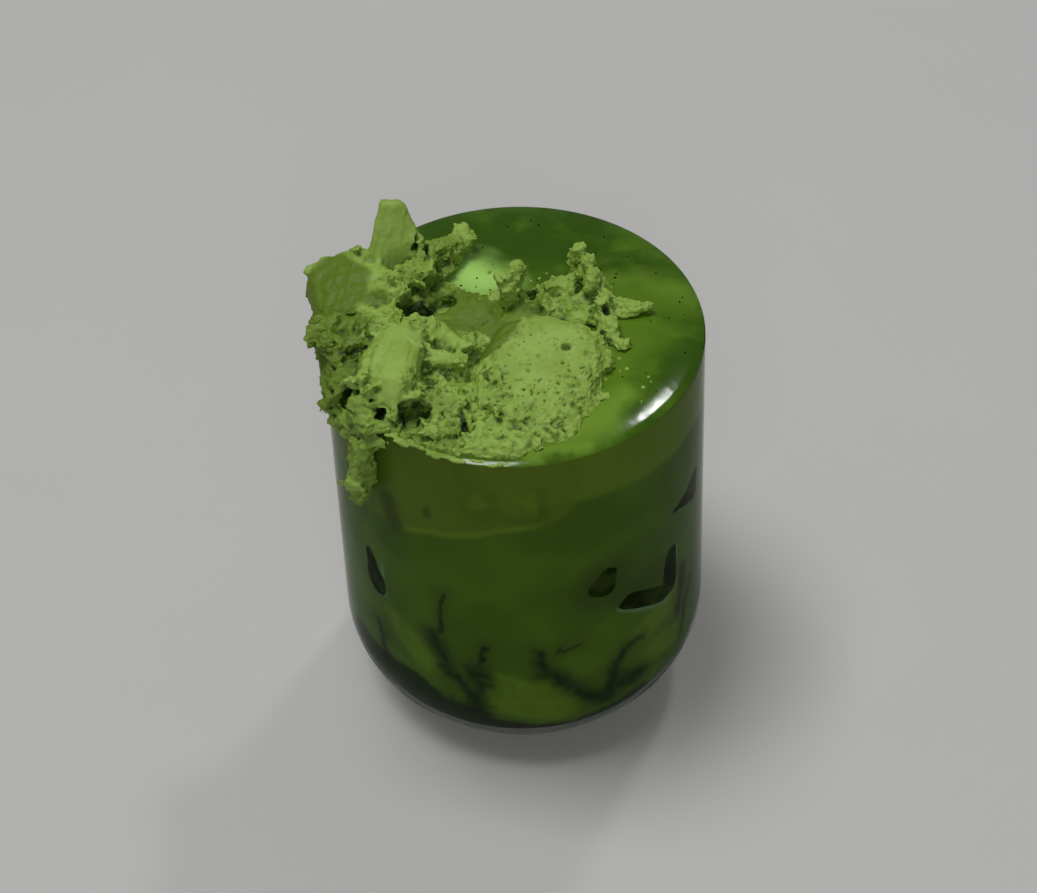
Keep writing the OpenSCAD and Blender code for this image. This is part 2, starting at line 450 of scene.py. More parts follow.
iceCream = {
    "light": (0.340, 0.510, 0.098),
    "mid": (0.225, 0.360, 0.038),
    "leaf": (0.125, 0.205, 0.014),
    # painted shade for pits, hollows and pores, where the light doesn't reach
    "deep": (0.030, 0.066, 0.003),
    "voidShade": (0.006, 0.015, 0.0008),
    "blotchSize": 7 * mm,
    "poreSize": 1.1 * mm,
    "poreSpots": 3 * mm,
    "grainSize": 0.45 * mm,
    "grainDepth": 0.12 * mm,
    "specular": 0.25,
    "voidShadeShare": 0.94,
    # where each mask starts and ends, and what it is there
    "blotches": (0.35, 0.65, 0.0, 0.6),
    "hollows": (0.50, 0.95, 0.0, 0.8),
    "cavities": (0.54, 1.0, 0.0, 0.85),
    "pores": (0.14, 0.30, 1.0, 0.0),
    "spots": (0.48, 0.62),
    "poresInTorn": (0.0, 0.3, 0.1, 0.75),
    "roughness": (0.3, 0.7, 0.42, 0.62),
}


def buildIceCreamMaterial():
    material, tree, shader = newMaterial("matchaIceCream")
    place = objectPlace(tree)
    kept = {name: put(tree, "ShaderNodeAttribute", {}, attribute_name=name).outputs["Fac"]
            for name in ("cavity", "hollow", "torn", "tone", "voidShade")}
    blotch = grain(tree, place, iceCream["blotchSize"], 4.0, 0.6)
    blotch = ramp(tree, blotch.outputs["Fac"], *iceCream["blotches"])
    # random blotches, and torn faces moved partway toward the mid colour as painted shade among their
    # shreds
    deeper = maths(tree, "MAXIMUM", blotch, maths(tree, "MULTIPLY", kept["torn"], 0.3))
    colour = mixed(tree, deeper, iceCream["light"], iceCream["mid"])
    # painted shade: over the tone zones, faces turned from the light, such as the wing and the scooped
    # trough, go darker olive
    colour = mixed(tree, kept["tone"], colour, iceCream["leaf"])
    # painted shade: the deeper a place lies below its surroundings, the darker it is made
    for name, limits in (("hollow", "hollows"), ("cavity", "cavities")):
        colour = mixed(tree, ramp(tree, kept[name], *iceCream[limits]), colour, iceCream["deep"])
    # small pores over the torn faces, painted dark as their shade
    pores = put(tree, "ShaderNodeTexVoronoi", {"Vector": place, "Scale": 1 / iceCream["poreSize"]})
    spots = grain(tree, place, iceCream["poreSpots"], 2.0)
    holes = maths(tree, "MULTIPLY", ramp(tree, pores.outputs["Distance"], *iceCream["pores"]),
                  ramp(tree, spots.outputs["Fac"], *iceCream["spots"]))
    holes = maths(tree, "MULTIPLY", holes, ramp(tree, kept["torn"], *iceCream["poresInTorn"]))
    colour = mixed(tree, holes, colour, iceCream["deep"])
    # painted shadow: the cut hollows are filled near-black inside
    empty = maths(tree, "MULTIPLY", kept["voidShade"], iceCream["voidShadeShare"])
    colour = mixed(tree, empty, colour, iceCream["voidShade"])
    fine = grain(tree, place, iceCream["grainSize"], 3.0, 0.6)
    rough = ramp(tree, fine.outputs["Fac"], *iceCream["roughness"])
    bump = put(tree, "ShaderNodeBump", {"Height": fine.outputs["Fac"], "Strength": 0.5,
                                        "Distance": iceCream["grainDepth"]})
    feed(tree, shader, {"Base Color": colour, "Roughness": rough,
                        "Specular IOR Level": iceCream["specular"], "Normal": bump.outputs["Normal"]})
    return material


glassLook = {"tint": (0.96, 0.985, 0.965), "shadow": (0.95, 0.98, 0.95), "ior": 1.06}


def buildGlassMaterial():
    material, tree, shader = newMaterial("clearGlass")
    feed(tree, shader, {"Base Color": (*glassLook["tint"], 1), "Roughness": 0.0,
                        "IOR": glassLook["ior"], "Transmission Weight": 1.0})
    through = put(tree, "ShaderNodeBsdfTransparent", {"Color": (*glassLook["shadow"], 1)})
    path = tree.nodes.new("ShaderNodeLightPath")
    either = put(tree, "ShaderNodeMixShader", {0: path.outputs["Is Shadow Ray"],
                                               1: shader.outputs[0], 2: through.outputs[0]})
    feed(tree, tree.nodes["Material Output"], {"Surface": either.outputs[0]})
    return material


# painted shade: the clear ice is given a near-black colour for the darkness seen through it; the dark
# specks on the drink share this material
iceLook = {"dark": (0.004, 0.010, 0.0008), "haze": (0.024, 0.040, 0.005), "hazeSize": 5 * mm,
           "hazes": (0.42, 0.66), "roughness": 0.3}


def buildIceMaterial():
    material, tree, shader = newMaterial("darkIce")
    place = objectPlace(tree)
    haze = grain(tree, place, iceLook["hazeSize"], 2.0, 0.5, 0.5)
    haze = ramp(tree, haze.outputs["Fac"], *iceLook["hazes"])
    colour = mixed(tree, haze, iceLook["dark"], iceLook["haze"])
    feed(tree, shader, {"Base Color": colour, "Roughness": iceLook["roughness"], "Specular IOR Level": 0.0})
    return material


wallMaterial = buildWallMaterial()
surfaceMaterial = buildSurfaceMaterial()
iceCreamMaterial = buildIceCreamMaterial()
glassMaterial = buildGlassMaterial()
iceMaterial = buildIceMaterial()
print("the materials are mixed")

# The camera: where it stands, degrees down and round its own axis, and the lens.
camera = {"at": (0, -0.3822, 0.4535), "down": 45.6, "roll": -2.45, "lens": 86.8}


def buildCamera():
    bpy.ops.object.camera_add(location=camera["at"])
    made = newest("viewCamera")
    tilt = Matrix.Rotation(math.radians(90 - camera["down"]), 3, "X")
    roll = Matrix.Rotation(math.radians(camera["roll"]), 3, "Z")
    made.rotation_euler = (tilt @ roll).to_euler()
    made.data.lens = camera["lens"]
    made.data.sensor_width = 36
    made.data.clip_start = 0.01
    scene.camera = made


lights = {
    "above": {"at": (-0.27, 0.06, 1.45), "size": 0.48, "power": 9.2},
    "front": {"at": (0.02, -1.12, 1.00), "size": 0.70, "power": 3.1},
    "side": {"at": (0.32, 0.56, 1.00), "size": 0.10, "power": 1.3},
}
room = {"floor": (0.66, 0.65, 0.63), "sky": (0.93, 0.97, 1.0), "skyPower": 0.11, "reach": 3.0}


def buildLights():
    for name, light in lights.items():
        bpy.ops.object.light_add(type="AREA", location=light["at"])
        lamp = newest(name + "Light")
        lamp.data.size = light["size"]
        lamp.data.energy = light["power"]
        aim = Vector((0, 0, rimZ)) - Vector(light["at"])
        lamp.rotation_euler = aim.to_track_quat("-Z", "Y").to_euler()
    world = bpy.data.worlds.new("softRoom")
    world.use_nodes = True
    feed(world.node_tree, world.node_tree.nodes["Background"],
         {"Color": (*room["sky"], 1), "Strength": room["skyPower"]})
    scene.world = world


def buildFloor():
    deselect()
    bpy.ops.mesh.primitive_plane_add(size=2 * room["reach"])
    floor = newest("paleFloor")
    material, tree, shader = newMaterial("palePaint")
    blotch = grain(tree, objectPlace(tree), 0.05, 3.0)
    tone = mixed(tree, blotch.outputs["Fac"], [0.97 * c for c in room["floor"]], room["floor"])
    feed(tree, shader, {"Base Color": tone, "Roughness": 0.8})
    floor.data.materials.append(material)


buildCamera()
buildLights()
buildFloor()
print("camera, lights and floor are in place")


# The glass is the CAD node itself, with its material.
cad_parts["glass"].data.materials.clear()
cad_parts["glass"].data.materials.append(glassMaterial)


drink = {"corner": 19.7 * mm, "cornerSteps": 14}


def radiusAt(z):
    # the fill's radius above the rounded corner, where the wall leans in
    share = (z - floorZ - drink["corner"]) / (rimZ - floorZ - drink["corner"])
    return bellyR + (fillR - bellyR) * share


def buildLatte():
    latte = addBarrel("latteDrink", bellyR, foamZ - floorZ, (0, 0, (foamZ + floorZ) / 2))
    selectFaces(latte, lambda face: face.normal.z < -0.5)
    bpy.ops.mesh.bevel(offset=drink["corner"], segments=drink["cornerSteps"], affect="EDGES")
    leaveEdit()
    leanFace(latte, 1, radiusAt(foamZ) / bellyR, foamZ)
    smoothShade(latte, 40)
    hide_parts("latte")
    return finishPiece(latte, "latte", wallMaterial)


# The pale layer on top. Lip and crown are given as (radius, height over the rim), in millimetres.
foam = {
    "lip": [(39.2, 0.07), (39.78, -0.1)],
    "crown": [(39.4, 0.14), (37.8, 0.42), (36.0, 0.74), (33.6, 1.0), (30.5, 1.14), (23, 1.2)],
    "edge": -0.15,
    "pocketAt": (-17, -14),
    "pocketR": 23,
    "pocketSides": 64,
}


def pocketTool(grow=0.0):
    # the round place in the foam that the ice cream stands in
    return addBarrel("pocketTool", (foam["pocketR"] + grow) * mm, 60 * mm,
                     spot(*foam["pocketAt"]), foam["pocketSides"])


def buildFoam():
    top = rimZ + foam["edge"] * mm
    layer = addBarrel("foamLayer", fillR, top - foamZ, (0, 0, (top + foamZ) / 2))
    leanFace(layer, -1, radiusAt(foamZ) / fillR, foamZ)
    selectFaces(layer, lambda face: face.normal.z > 0.5)
    far, high = fillR / mm, foam["edge"]
    for nextFar, nextHigh in foam["lip"]:
        bpy.ops.mesh.extrude_region_move(TRANSFORM_OT_translate={"value": (0, 0, (nextHigh - high) * mm)})
        bpy.ops.transform.resize(value=(nextFar / far, nextFar / far, 1), center_override=(0, 0, rimZ))
        far, high = nextFar, nextHigh
    for nextFar, nextHigh in foam["crown"]:
        bpy.ops.mesh.inset(thickness=(far - nextFar) * mm, depth=0)
        bpy.ops.transform.translate(value=(0, 0, (nextHigh - high) * mm))
        far, high = nextFar, nextHigh
    leaveEdit()
    cutWith(layer, pocketTool())
    layer.data.materials.append(wallMaterial)
    layer.data.materials.append(surfaceMaterial)
    smoothShade(layer, 50)
    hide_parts("foam")
    finishPiece(layer, "foam", wallMaterial, surfaceMaterial)
    for face in layer.data.polygons:
        face.material_index = 1 if face.normal.z > 0.05 else 0


def crownAt(far):
    # how high the surface stands over the rim at this distance from the axis, in millimetres
    radii = [r for r, high in reversed(foam["crown"])]
    return float(np.interp(far, radii, [high for r, high in reversed(foam["crown"])]))


buildLatte()
buildFoam()

# The ice that shows at the wall: degrees from the front, millimetres high, half width and half
# height, degrees out of plumb, how much the top narrows and how round the edges are.
ice = {
    "slot": {"turn": -54.5, "high": 50.5, "half": (3.7, 7.4), "lean": -13, "taper": 0.4, "round": 0.85},
    "wedge": {"turn": 63.5, "high": 64, "half": (4.2, 6.0), "lean": -84, "taper": 0.85, "round": 0.3},
    "round": {"turn": 25.5, "high": 57.5, "half": (3.6, 4.3), "lean": 24, "taper": 0.35, "round": 0.7},
    "elbowUp": {"turn": 53, "high": 47.2, "half": (2.8, 7.2), "lean": 4, "taper": 0.25, "round": 0.5},
    "elbowFoot": {"turn": 41.5, "high": 45.2, "half": (8.0, 2.4), "lean": 29, "taper": 0.1, "round": 0.45},
    "backBlock": {"turn": 165, "high": 60, "half": (6, 5), "lean": 20, "taper": 0.3, "round": 0.5},
    "backSlot": {"turn": -130, "high": 52, "half": (3, 7), "lean": 12, "taper": 0.4, "round": 0.8},
}
iceBlock = {"proud": 0.04 * mm, "depth": 9 * mm, "outwards": 0.6, "edgeSteps": 5}


def buildIce(name, cube):
    # a rounded block that points inwards, cut flush with the inside of the wall
    block = addCube(name)
    bpy.ops.object.mode_set(mode="EDIT")
    bpy.ops.mesh.bevel(offset=cube["round"], segments=iceBlock["edgeSteps"], affect="EDGES")
    leaveEdit()
    selectFaces(block, lambda face: face.center.z > 0.2)
    bpy.ops.transform.resize(value=(1 - cube["taper"], 1, 1), center_override=(0, 0, 1))
    leaveEdit()
    halfWide, halfHigh = cube["half"]
    block.scale = (halfWide * mm, iceBlock["depth"], halfHigh * mm)
    settle(block)
    block.rotation_euler = (0, math.radians(cube["lean"]), 0)
    settle(block)
    block.location = (0, -(bellyR - iceBlock["outwards"] * iceBlock["depth"]), cube["high"] * mm)
    settle(block)
    block.rotation_euler = (0, 0, math.radians(cube["turn"]))
    settle(block)
    foot = floorZ + drink["corner"]
    wide = bellyR + iceBlock["proud"]
    barrel = addBarrel("barrelTool", wide, rimZ - foot, (0, 0, (rimZ + foot) / 2))
    leanFace(barrel, 1, (fillR + iceBlock["proud"]) / wide, rimZ)
    cutWith(block, barrel, "INTERSECT")
    smoothShade(block, 30)
    return finishPiece(block, "ice", iceMaterial)


for iceName, iceCube in ice.items():
    buildIce("ice_" + iceName, iceCube)
print("the drink is poured")

# The ice cream is made of rough lumps, roughened and strewn with crumbs.
lumpShape = {"cuts": 6, "ball": 1.08}


def addLump(at, half, turn=(0, 0, 0), taper=0.0, blunt=0.3):
    lump = addCube("lump")
    bpy.ops.object.mode_set(mode="EDIT")
    bpy.ops.mesh.subdivide(number_cuts=lumpShape["cuts"])
    leaveEdit()
    useModifier(lump, "CAST", cast_type="SPHERE", factor=1 - blunt, size=lumpShape["ball"])
    if taper:
        useModifier(lump, "SIMPLE_DEFORM", deform_method="TAPER", deform_axis="Z", factor=-taper)
    return placePiece(lump, at, half, turn)


crumb = {
    "shapes": 6,
    "knobbly": 0.34,
    "long": (0.8, 1.5),
    "thick": (0.75, 1.2),
    "sunk": (-0.7, 0.25),    # how far out of its face a crumb lies, in its own size
    "tornFrom": 0.6,         # only faces at least this torn get any
    "facing": -0.5,          # and only those that look no further down
    "crumbThin": 0.75,
    "flakeThin": 0.32,
    "speckThin": 0.6,
}


def makeCrumbs(count):
    # a few knobbly little shapes, to be copied over the torn faces
    shapes = []
    for number in range(count):
        deselect()
        bpy.ops.mesh.primitive_ico_sphere_add(subdivisions=2, radius=1)
        shape = newest(f"crumbShape{number}")
        bpy.ops.object.mode_set(mode="EDIT")
        bpy.ops.transform.vertex_random(offset=crumb["knobbly"], uniform=0.5, normal=0.5, seed=number + 3)
        leaveEdit()
        shapes.append(shape)
    return shapes


crumbShapes = makeCrumbs(crumb["shapes"])


def copyCrumb(shape, at, size, chance, thin):
    copy = shape.copy()
    copy.data = shape.data.copy()
    scene.collection.objects.link(copy)
    angle = chance.uniform(0, math.tau)
    axis = Vector((chance.uniform(-1, 1), chance.uniform(-1, 1), chance.uniform(0.2, 1)))
    length = size * chance.uniform(*crumb["long"])
    thickness = size * thin * chance.uniform(*crumb["thick"])
    turn = Matrix.Rotation(angle, 4, axis.normalized())
    copy.data.transform(Matrix.Translation(at) @ turn @ Matrix.Diagonal((length, size, thickness, 1)))
    return copy


def readPlaces(mesh, what, field="co"):
    things = getattr(mesh, what)
    values = np.empty(len(things) * 3)
    things.foreach_get(field, values)
    return values.reshape(-1, 3)


zoneEdge = {"wave": 1.7 * mm, "ragged": 0.13, "from": 0.8, "over": 0.35}


def tornShare(places, smoothZones):
    # 1 where the ice cream is torn and 0 in the middle of each smooth place
    torn = np.ones(len(places))
    wide = places / zoneEdge["wave"]
    uneven = np.sin(wide[:, 0] + 1.7 * np.sin(0.8 * wide[:, 1])) + np.sin(
        1.3 * wide[:, 1] + 1.5 * np.sin(wide[:, 2] + 0.6 * wide[:, 0]))
    for at, half, turn, keep in smoothZones:
        away = (places - np.array(spot(*at))) / mm
        c, s = math.cos(math.radians(turn)), math.sin(math.radians(turn))
        x = (away[:, 0] * c + away[:, 1] * s) / half[0]
        y = (away[:, 1] * c - away[:, 0] * s) / half[1]
        z = away[:, 2] / half[2]
        far = np.sqrt(x * x + y * y + z * z) + zoneEdge["ragged"] * uneven
        share = np.clip((far - zoneEdge["from"]) / zoneEdge["over"], 0, 1)
        share = share * share * (3 - 2 * share)
        torn = np.minimum(torn, keep + (1 - keep) * share)
    return torn


weightSteps = 12


def weigh(piece, name, shares):
    # a vertex group whose weights go up in steps
    group = piece.vertex_groups.new(name=name)
    steps = np.round(np.asarray(shares) * weightSteps).astype(int)
    for step in range(1, weightSteps + 1):
        group.add(np.flatnonzero(steps == step).tolist(), step / weightSteps, "REPLACE")


def dent(piece, size, depth, group="torn", level=0.5, stretch=(1, 1, 1), tilt=(0, 0, 0), **settings):
    # pushes the surface in and out by a cloudy pattern; size and depth in millimetres
    texture = bpy.data.textures.new("dents", "CLOUDS")
    texture.noise_scale = size * mm
    for key, value in settings.items():
        setattr(texture, key, value)
    bpy.ops.object.empty_add(rotation=[math.radians(t) for t in tilt])
    guide = bpy.context.object
    guide.scale = stretch
    bpy.context.view_layer.update()
    useModifier(piece, "DISPLACE", texture=texture, texture_coords="OBJECT", strength=depth * mm,
                texture_coords_object=guide, mid_level=level, vertex_group=group)
    bpy.data.objects.remove(guide)
    bpy.data.textures.remove(texture)


def clearGroups(piece):
    while piece.vertex_groups:
        piece.vertex_groups.remove(piece.vertex_groups[0])


def outward(mesh, places):
    # the normals that the mesh would have with its vertices at these places
    corners = np.empty(len(mesh.loops), dtype=np.int64)
    mesh.loops.foreach_get("vertex_index", corners)
    starts = np.empty(len(mesh.polygons), dtype=np.int64)
    mesh.polygons.foreach_get("loop_start", starts)
    a, b, c = (corners[starts + step] for step in range(3))
    facing = np.cross(places[b] - places[a], places[c] - places[a])
    facing /= np.maximum(np.linalg.norm(facing, axis=1, keepdims=True), 1e-12)
    total = np.zeros_like(places)
    for corner in (a, b, c):
        for axis in range(3):
            total[:, axis] += np.bincount(corner, facing[:, axis], len(places))
    return total / np.maximum(np.linalg.norm(total, axis=1, keepdims=True), 1e-12)


# Rounds of evening out the mesh, and how far below that a place counts in full, for the painted shade in
# pits and hollows.
sunken = {"cavity": (12, 0.5 * mm), "hollow": (110, 2.0 * mm)}


def keepCavities(piece, heap):
    # how far each place lies below its surroundings, and the zones, for the colour: painted shade in pits,
    # hollows and voids, and the darker olive zones
    mesh = piece.data
    places = readPlaces(mesh, "vertices")
    ends = np.empty(len(mesh.edges) * 2, dtype=np.int64)
    mesh.edges.foreach_get("vertices", ends)
    a, b = ends[0::2], ends[1::2]
    count = len(places)
    near = np.bincount(np.concatenate((a, b)), minlength=count)[:, None]
    calm = places.copy()
    kept = {}
    done = 0
    for name, (rounds, depth) in sunken.items():
        for step in range(done, rounds):
            sums = [np.bincount(a, calm[b, axis], count) + np.bincount(b, calm[a, axis], count)
                    for axis in range(3)]
            calm = np.stack(sums, 1) / np.maximum(near, 1)
        done = rounds
        kept[name] = np.clip(0.5 + ((calm - places) * outward(mesh, calm)).sum(1) / (2 * depth), 0, 1)
    # zones round the cut hollows, to be painted near-black as their shadow
    voidShadeZones = [(at, half, turn[2], 0.0) for at, half, turn in heap["hollows"]]
    kept["torn"] = tornShare(places, heap["smooth"])
    kept["tone"] = 1 - tornShare(places, heap["tone"])
    kept["voidShade"] = 1 - tornShare(places, voidShadeZones)
    for name, values in kept.items():
        attribute = mesh.attributes.new(name, "FLOAT", "POINT")
        attribute.data.foreach_set("value", values.astype(np.float32))


def scatter(piece, smoothZones, count, sizes, chance, thin):
    # crumbs over the torn faces that look up or out
    centres = readPlaces(piece.data, "polygons", "center")
    normals = readPlaces(piece.data, "polygons", "normal")
    torn = tornShare(centres, smoothZones)
    far = np.hypot(centres[:, 0], centres[:, 1])
    shown = (torn > crumb["tornFrom"]) & (normals[:, 2] > crumb["facing"])
    shown &= (centres[:, 2] > rimZ) | (far > rimR + 0.5 * mm)
    likely = np.flatnonzero(shown)
    crumbs = []
    for number in range(count):
        face = likely[chance.randrange(len(likely))]
        size = sizes[0] + (sizes[1] - sizes[0]) * chance.random() ** 3
        out = Vector(normals[face]) * size * chance.uniform(*crumb["sunk"]) * mm
        at = Vector(centres[face]) + out
        crumbs.append(copyCrumb(crumbShapes[number % len(crumbShapes)], at, size * mm, chance, thin))
    return crumbs


# How the surface is broken up, in millimetres: patterns' sizes, depths, stretch and clamping.
breakUp = {
    "firstVoxel": 0.55,
    "unevenSize": 4.5,
    "crumblySize": 2.6,
    "crumblyStretch": (1.5, 1.2, 0.5),
    "shreds": (1.2, 0.9),
    "shredStretch": (2.0, 1.2, 0.55),
    "grains": (0.6, 0.3),
    "waves": (3.0, 0.35),
    "drawnSize": 1.0,
    "drawnStretch": (0.8, 7, 3),
    "pits": (0.9, 1.3),
    "pitSettings": {"contrast": 3.2, "intensity": 1.95, "use_clamp": True},
}


def buildIceCream(name, heap):
    chance = random.Random(heap["seed"])
    lumps = [addLump(*lump) for lump in heap["lumps"]]
    if "slab" in heap:
        lumps.append(addSlab(**heap["slab"]))
    piece = joinAll(lumps, name)
    useModifier(piece, "REMESH", mode="VOXEL", voxel_size=breakUp["firstVoxel"] * mm, adaptivity=0)
    weigh(piece, "torn", tornShare(readPlaces(piece.data, "vertices"), heap["smooth"]))
    dent(piece, breakUp["unevenSize"], heap["uneven"], noise_depth=2)
    dent(piece, breakUp["crumblySize"], -heap["crumbly"], noise_type="HARD_NOISE", noise_depth=2,
         stretch=breakUp["crumblyStretch"], tilt=heap["grainTilt"])
    if heap["hollows"]:
        cutWith(piece, joinAll([addLump(*hollow) for hollow in heap["hollows"]], "hollowTool"))
    crumbs = []
    for kind, sizes, thin in (("crumbs", "crumbSizes", "crumbThin"), ("flakes", "flakeSizes", "flakeThin")):
        crumbs += scatter(piece, heap["smooth"], heap[kind], heap[sizes], chance, crumb[thin])
    piece = joinAll([piece, *crumbs], name)
    useModifier(piece, "REMESH", mode="VOXEL", voxel_size=heap["voxel"] * mm, adaptivity=0)
    clearGroups(piece)
    places = readPlaces(piece.data, "vertices")
    torn = tornShare(places, heap["smooth"])
    weigh(piece, "torn", torn)
    dent(piece, *breakUp["shreds"], noise_type="HARD_NOISE", noise_depth=2,
         stretch=breakUp["shredStretch"], tilt=heap["grainTilt"])
    dent(piece, *breakUp["grains"], noise_depth=1)
    dent(piece, *breakUp["waves"], group="", noise_depth=2)
    if "drawn" in heap:
        weigh(piece, "drawn", 1 - torn)
        dent(piece, breakUp["drawnSize"], heap["drawn"], "drawn", stretch=breakUp["drawnStretch"],
             tilt=heap["drawnTilt"], noise_depth=2)
    if heap["porous"]:
        weigh(piece, "porous", 1 - tornShare(places, heap["porous"]))
        dent(piece, *breakUp["pits"], "porous", 1.0, noise_depth=2, **breakUp["pitSettings"])
    clearGroups(piece)
    return piece


def addSlab(at, half, turn, topShare, topShift):
    # a flat-faced block that narrows to its top edge
    slab = addCube("slab")
    selectFaces(slab, lambda face: face.normal.z > 0.5)
    bpy.ops.transform.resize(value=(topShare, 0.7, 1), center_override=(topShift, 0, 1))
    bpy.ops.mesh.select_all(action="SELECT")
    bpy.ops.mesh.bevel(offset=0.12, segments=2, affect="EDGES")
    leaveEdit()
    return placePiece(slab, at, half, turn)


# Room kept at the rim, and the cutting tools' sizes.
rimCut = {"slim": 0.05 * mm, "high": 60 * mm, "clear": 0.5 * mm, "clearHigh": 80 * mm,
          "clearWide": 30 * mm, "side": 200 * mm}


def rimTool():
    # the wall near the rim, a little thinner than it is, to cut the ice cream round
    wall = rimR - innerR
    ring = addBarrel("rimTool", rimR - rimCut["slim"], rimCut["high"], spot(0, 0, -30), ends="NOTHING")
    useModifier(ring, "SOLIDIFY", thickness=wall - 2 * rimCut["slim"], offset=-1)
    selectFaces(ring, lambda face: face.normal.z > 0.5)
    bpy.ops.mesh.bevel(offset=wall / 2 - 2 * rimCut["slim"], segments=4, affect="EDGES")
    leaveEdit()
    return ring


def rimClearTool(leftEnd):
    # all that lies past the inside of the rim, to the right of this place
    ring = addBarrel("rimClearTool", innerR - rimCut["clear"], rimCut["clearHigh"], spot(0, 0),
                     ends="NOTHING")
    useModifier(ring, "SOLIDIFY", thickness=rimCut["clearWide"], offset=1)
    side = addCube("sideTool", rimCut["side"], (leftEnd * mm + rimCut["side"] / 2, 0, rimZ))
    return cutWith(ring, settle(side), "INTERSECT")


foot = {"high": 12.6 * mm, "slim": -0.05, "block": 120 * mm, "seam": (-7 * mm, -10 * mm), "turn": -10}


def footPart(side):
    # what stands in the foam under one of the spoonfuls
    piece = pocketTool(foot["slim"])
    layer = addBarrel("footLayer", radiusAt(foamZ), foot["high"], (0, 0, foamZ + foot["high"] / 2))
    leanFace(layer, 1, fillR / radiusAt(foamZ), rimZ)
    cutWith(piece, layer, "INTERSECT")
    seamX, seamY = foot["seam"]
    half = addCube("footHalf", foot["block"], (side * foot["block"] / 2 + seamX, seamY, rimZ))
    half.rotation_euler = (0, 0, math.radians(foot["turn"]))
    return cutWith(piece, settle(half), "INTERSECT")


# The melted film on the front of the rim: blobs strewn between these degrees.
film = {"seed": 31, "count": 20, "from": -43, "span": 42, "crowding": 1.2, "inside": 0.7,
        "across": (-0.9, 0.45), "high": (-0.2, 0.3), "half": ((0.4, 1.5), (0.3, 0.5), (0.2, 0.35)),
        "voxel": 0.25, "ragged": (1.0, 0.5)}


def rimFilm():
    parts = []
    chance = random.Random(film["seed"])
    for step in range(film["count"]):
        turn = film["from"] + film["span"] * chance.random() ** film["crowding"]
        far = rimR / mm - film["inside"] + chance.uniform(*film["across"])
        at = (far * math.sin(math.radians(turn)), -far * math.cos(math.radians(turn)),
              chance.uniform(*film["high"]))
        half = [chance.uniform(*limits) for limits in film["half"]]
        parts.append(addLump(at, half, (0, 0, turn)))
    piece = joinAll(parts, "rimFilm")
    useModifier(piece, "REMESH", mode="VOXEL", voxel_size=film["voxel"] * mm, adaptivity=0)
    dent(piece, *film["ragged"], group="", noise_depth=2)
    return piece


def finishIceCream(piece, heap, nodeName, side, extras=()):
    piece = joinAll([piece, *extras], piece.name)
    cutWith(piece, rimTool())
    keepCavities(piece, heap)
    piece = joinAll([piece, footPart(side)], piece.name)
    smoothShade(piece, 65)
    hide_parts(nodeName)
    finishPiece(piece, "ice_cream", iceCreamMaterial, wallMaterial)
    for face in piece.data.polygons:
        far = math.hypot(face.center.x, face.center.y)
        atWall = fillR - 0.5 * mm < far < fillR + 0.5 * mm and face.center.z < rimZ - 0.6 * mm
        face.material_index = 1 if atWall else 0


